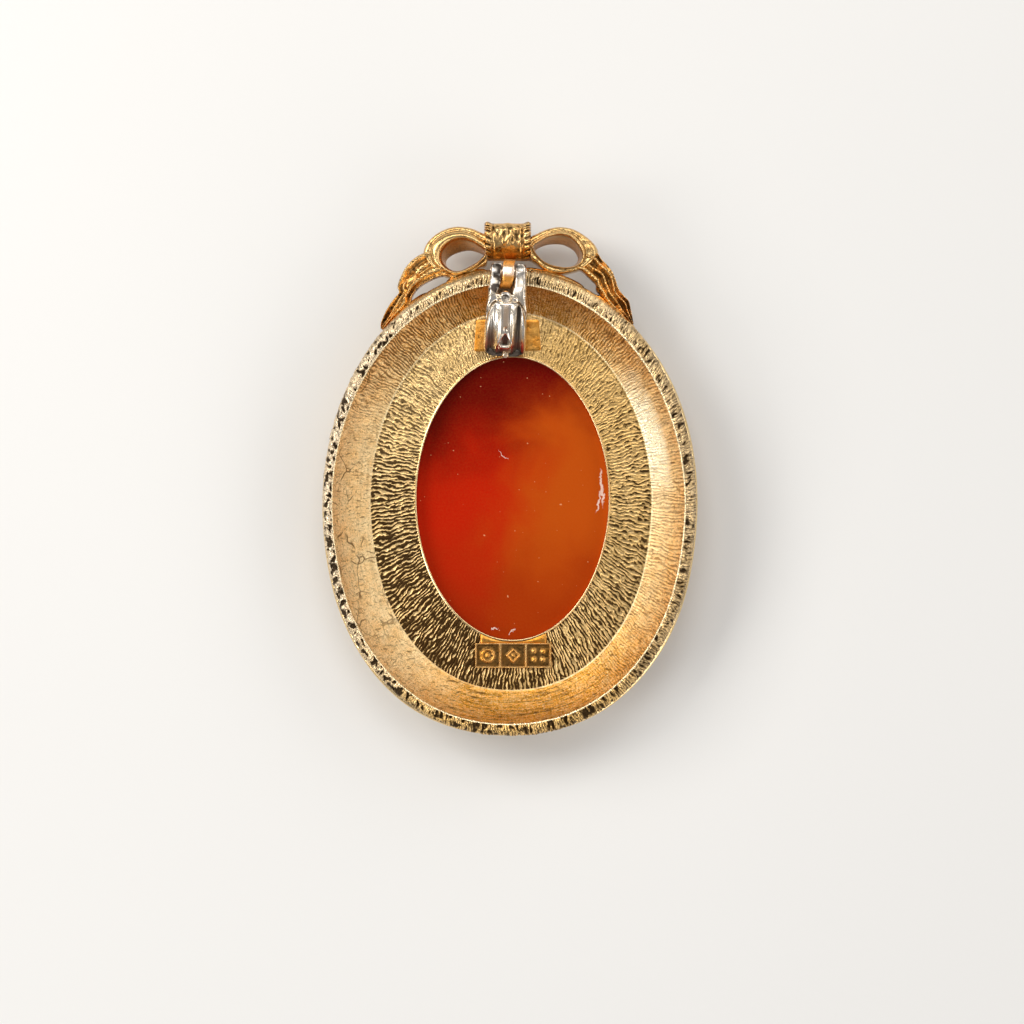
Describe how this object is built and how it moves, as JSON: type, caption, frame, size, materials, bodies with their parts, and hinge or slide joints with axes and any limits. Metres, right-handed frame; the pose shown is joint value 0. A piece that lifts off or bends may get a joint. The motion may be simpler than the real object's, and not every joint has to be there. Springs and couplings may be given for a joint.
{
  "type": "cameo pendant",
  "caption": "Oval cameo pendant seen from its back: dished metal frame with a rough rim, set oval stone, ribbon bow and a folding bail with a hinged gate.",
  "frame": {"origin": "under the middle of the whole pendant, on the surface that it lies on", "axes": "+Z out of the pendant's back, +Y towards the bow, +X to the right as the back is seen"},
  "size_m": [0.0378, 0.0518, 0.0099],
  "materials": {
    "gold": "gold coloured, chased and burnished",
    "carnelian": "polished",
    "white_layer": "carved, satin",
    "silver": "silver coloured, worn polish"
  },
  "bodies": {
    "setting": {"setting": "gold", "cameo_ground": "carnelian", "cameo_relief": "white_layer"},
    "bail": {"bail": "silver", "bail_pin": "silver", "gate_pin": "silver"},
    "bail_gate": {"bail_gate": "silver"}
  },
  "joints": [
    {"name": "bail_swing", "type": "hinge", "parent": "setting", "child": "bail", "pos_m": [-0.0001, 0.02063, 0.0086], "axis": [-0.9986, 0.0523, 0], "range_deg": [0, 155]},
    {"name": "gate_open", "type": "hinge", "parent": "bail", "child": "bail_gate", "pos_m": [-0.00023, 0.01814, 0.0093], "axis": [-0.9986, 0.0523, 0], "range_deg": [0, 60]}
  ]
}
